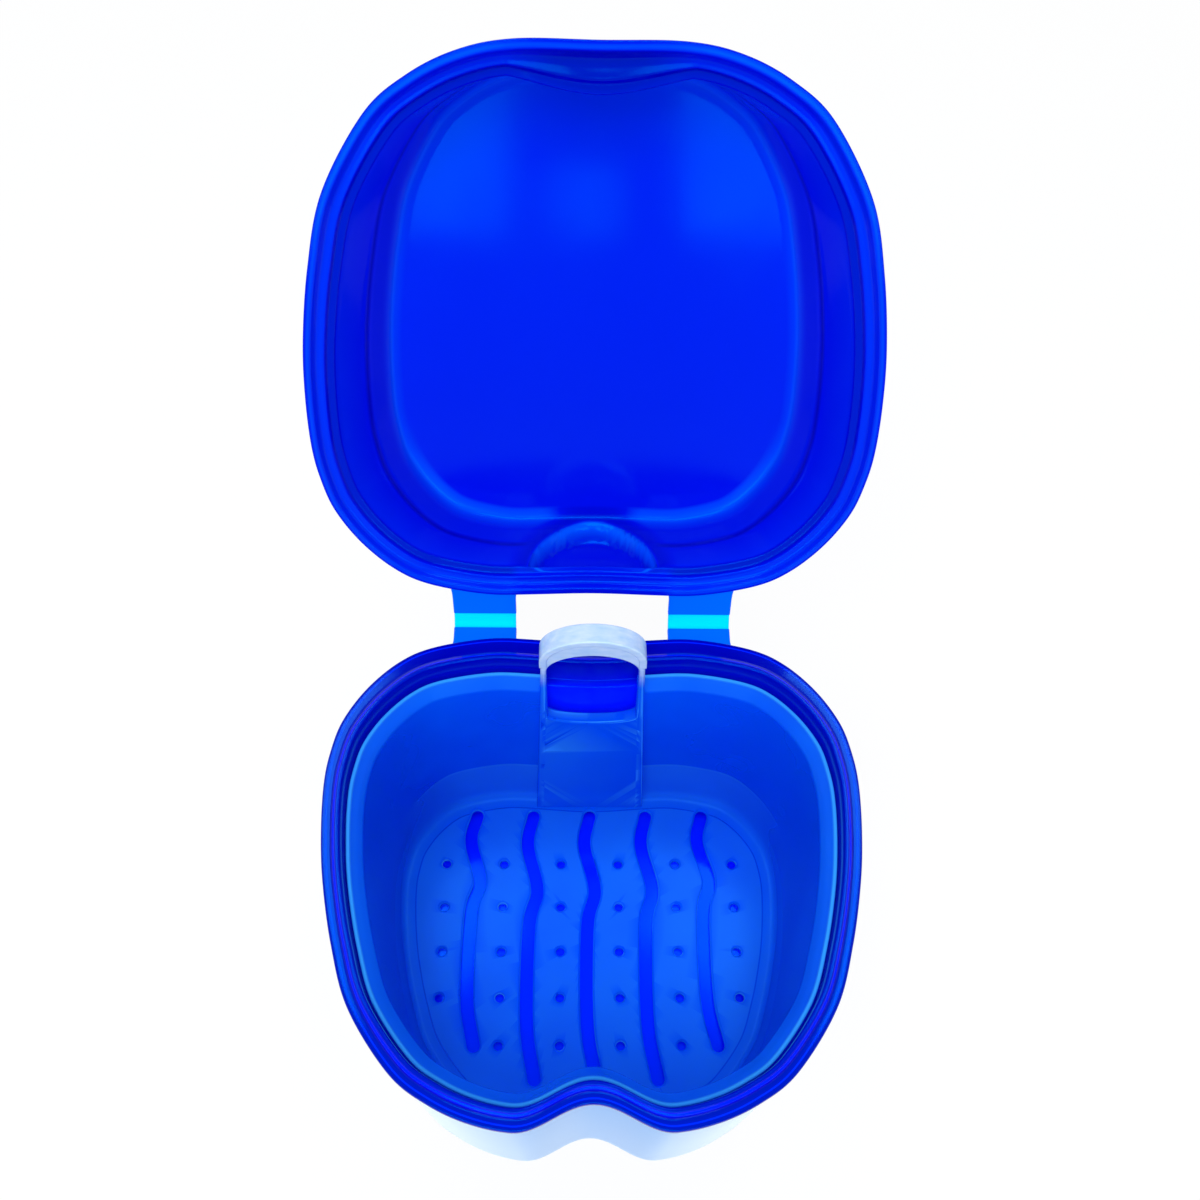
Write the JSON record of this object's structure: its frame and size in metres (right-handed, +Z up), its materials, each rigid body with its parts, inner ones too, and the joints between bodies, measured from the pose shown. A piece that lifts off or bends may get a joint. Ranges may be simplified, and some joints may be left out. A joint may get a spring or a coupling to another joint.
{
  "type": "denture case",
  "caption": "Apple-shaped denture case with a domed lid on living-hinge straps, an outer jacket and a lift-out drain basket with an arched handle.",
  "frame": {"origin": "centre of the flat underside of the outer jacket", "axes": "+X to the right, +Y to the hinge at the back, -Y to the notch at the front, +Z up"},
  "size_m": [0.094, 0.1377, 0.1383],
  "materials": {
    "blue_polypropylene": "glossy, slightly translucent",
    "thin_blue_polypropylene": "glossy, thin and see-through",
    "pale_polypropylene": "satin, milky",
    "natural_polypropylene": "satin, see-through"
  },
  "bodies": {
    "base": {"outer_jacket": "pale_polypropylene", "tub": "blue_polypropylene", "tub_hinge_leaf_left": "blue_polypropylene", "tub_hinge_leaf_right": "blue_polypropylene", "hinge_web_left": "thin_blue_polypropylene", "hinge_web_right": "thin_blue_polypropylene"},
    "lid": {"lid": "blue_polypropylene", "lid_hinge_leaf_left": "blue_polypropylene", "lid_hinge_leaf_right": "blue_polypropylene"},
    "basket": {"basket": "natural_polypropylene"}
  },
  "joints": [
    {"name": "lid_hinge", "type": "hinge", "parent": "base", "child": "lid", "pos_m": [0, 0.04815, 0.0513], "axis": [-1, 0, 0], "range_deg": [-110, 70], "deforming": ["hinge_web_left", "hinge_web_right"]},
    {"name": "basket_lift", "type": "slide", "parent": "base", "child": "basket", "axis": [0, 0, 1], "range_m": [0, 0.0015]}
  ]
}
